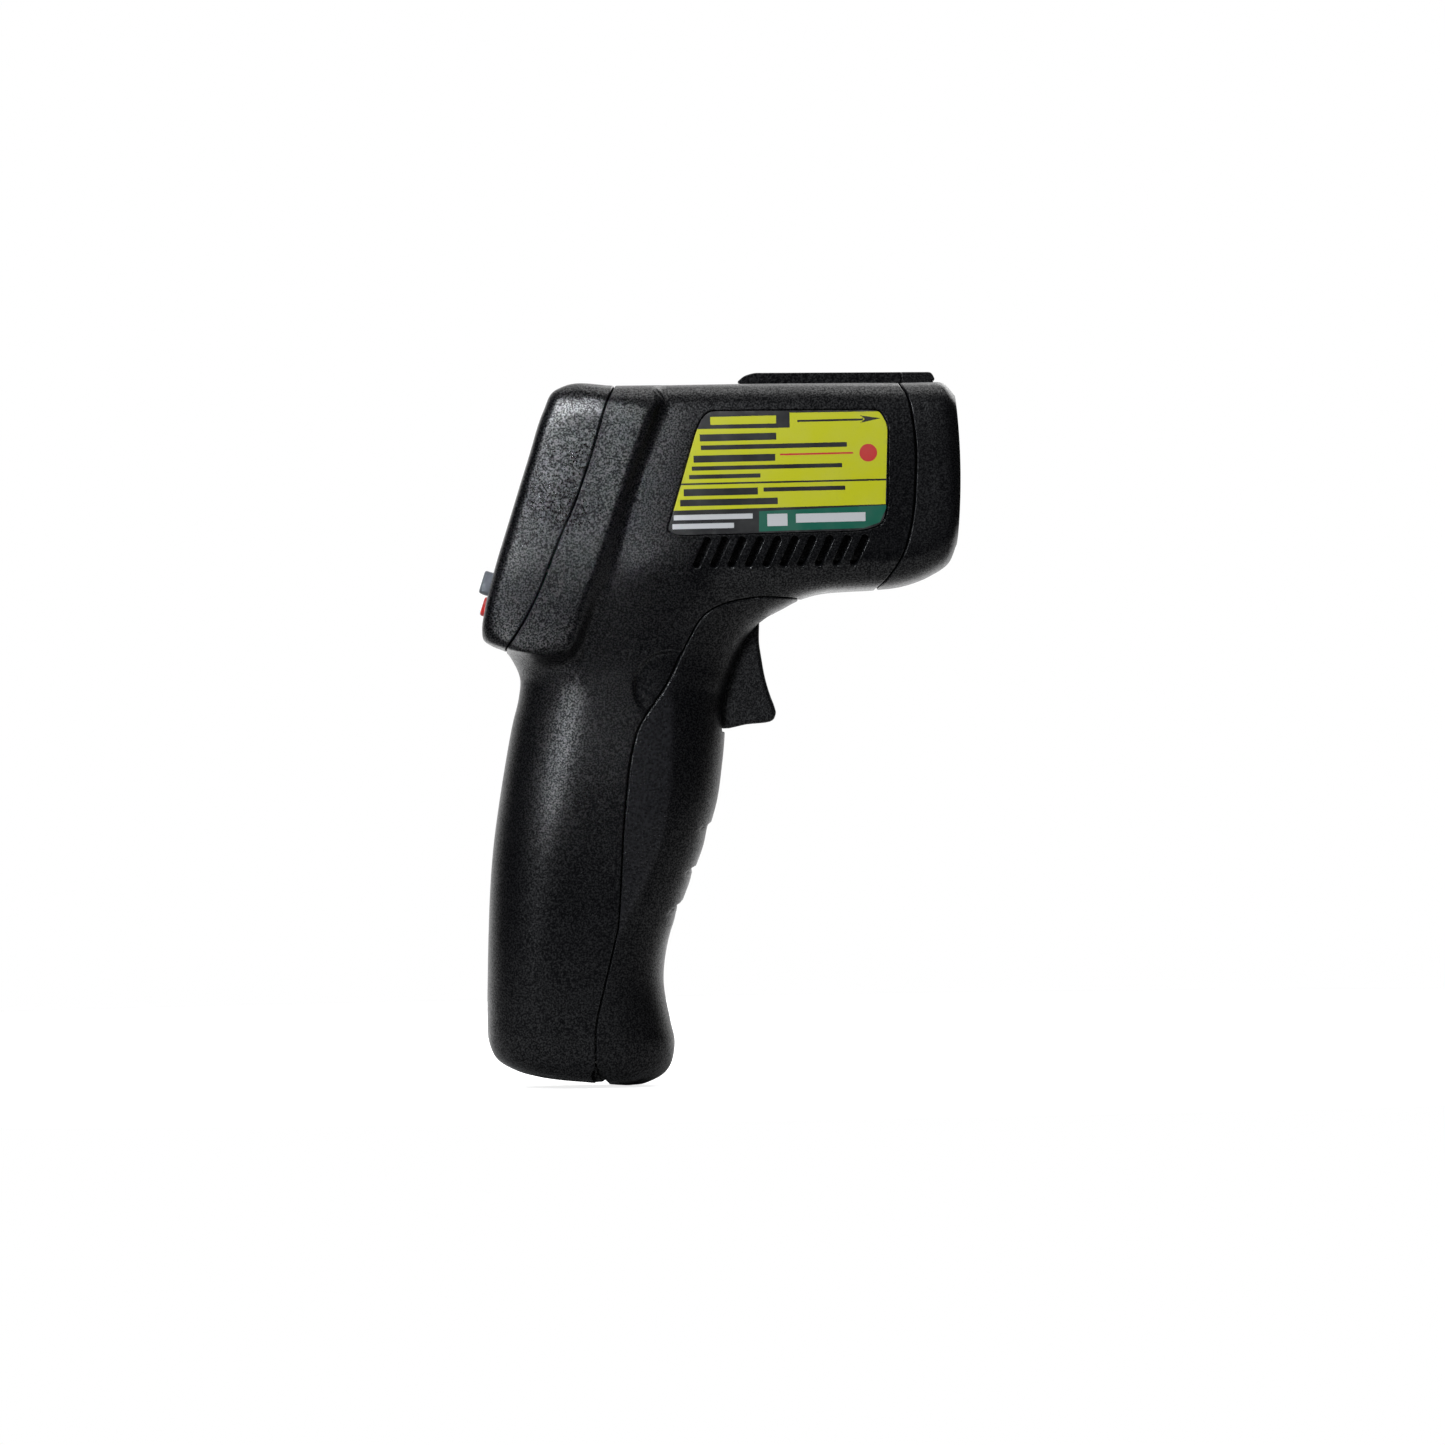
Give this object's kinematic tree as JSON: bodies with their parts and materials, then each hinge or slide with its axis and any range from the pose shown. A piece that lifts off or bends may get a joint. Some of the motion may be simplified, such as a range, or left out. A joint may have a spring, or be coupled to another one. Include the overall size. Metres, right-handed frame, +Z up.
{
  "type": "infrared thermometer",
  "caption": "Hand-held pistol-grip infrared thermometer with a trigger, a hinged battery door in the grip, a rear display and buttons.",
  "frame": {"origin": "middle of the bounding box's underside, below the grip's butt", "axes": "+X along the line of sight towards the nose, +Z up the grip, Y across, 0 at the plane where the housing halves meet"},
  "size_m": [0.1033, 0.043, 0.1522],
  "materials": {
    "spark_plastic": "black moulded plastic with a sparkling fine texture",
    "satin_plastic": "smooth satin black plastic",
    "soft_plastic": "smooth soft-touch charcoal plastic",
    "label_film": "printed film, yellow and green on black",
    "grey_key": "smooth grey",
    "red_key": "smooth red",
    "steel": "zinc plated",
    "window_clear": "clear window",
    "lcd": "grey-green display glass",
    "guide_clear": "clear acrylic",
    "ring_black": "matt black",
    "lens_milky": "milky infrared lens",
    "inner_black": "plain black inner part",
    "board_green": "solder mask",
    "brass": "turned",
    "rubber_grey": "grey rubber",
    "ribbon_white": "flat cable",
    "cell_case": "plain wrapped cell",
    "lead_red": "insulation",
    "lead_black": "insulation"
  },
  "bodies": {
    "housing": {"body_right": "spark_plastic", "body_left": "spark_plastic", "display_cap": "spark_plastic", "nose_cap": "satin_plastic", "label_right": "label_film", "case_screw_1": "steel", "case_screw_2": "steel", "case_screw_3": "steel", "case_screw_4": "steel", "board_screw_1": "steel", "board_screw_2": "steel", "door_hinge_pin": "steel", "trigger_pin": "steel", "trigger_spring": "steel", "thermopile": "steel", "battery_stud_positive": "steel", "battery_stud_negative": "steel", "display_window": "window_clear", "laser_window": "window_clear", "lcd_glass": "lcd", "light_guide": "guide_clear", "lens_ring": "ring_black", "ir_lens": "lens_milky", "lcd_frame": "inner_black", "sensor_tube": "inner_black", "controller_chip": "inner_black", "buzzer": "inner_black", "tact_switch_1": "inner_black", "tact_switch_2": "inner_black", "tact_switch_3": "inner_black", "trigger_bracket": "inner_black", "trigger_switch": "inner_black", "battery_tray": "inner_black", "battery_snap": "inner_black", "main_board": "board_green", "sensor_board": "board_green", "laser_module": "brass", "zebra_strip": "rubber_grey", "sensor_ribbon": "ribbon_white", "battery": "cell_case", "lead_red": "lead_red", "lead_black": "lead_black"},
    "door": {"battery_door": "soft_plastic"},
    "trigger": {"trigger": "spark_plastic"},
    "key_grey_right": {"button_grey_right": "grey_key"},
    "key_grey_left": {"button_grey_left": "grey_key"},
    "key_red": {"button_red": "red_key"}
  },
  "joints": [
    {"name": "door_hinge", "type": "hinge", "parent": "housing", "child": "door", "pos_m": [-0.0272, 0, 0.0023], "axis": [0, 1, 0], "range_deg": [0, 65]},
    {"name": "trigger_pull", "type": "hinge", "parent": "housing", "child": "trigger", "pos_m": [-0.001, 0, 0.1], "axis": [0, 1, 0], "range_deg": [0, 8], "stiffness_Nm_per_rad": 0.12, "springref_deg": -8.59},
    {"name": "key_grey_right_press", "type": "slide", "parent": "housing", "child": "key_grey_right", "axis": [0.9511, 0, -0.309], "range_m": [0, 0.0008], "stiffness_N_per_m": 600, "springref_m": -0.0008},
    {"name": "key_grey_left_press", "type": "slide", "parent": "housing", "child": "key_grey_left", "axis": [0.9511, 0, -0.309], "range_m": [0, 0.0008], "stiffness_N_per_m": 600, "springref_m": -0.0008},
    {"name": "key_red_press", "type": "slide", "parent": "housing", "child": "key_red", "axis": [0.9511, 0, -0.309], "range_m": [0, 0.0008], "stiffness_N_per_m": 600, "springref_m": -0.0008}
  ]
}
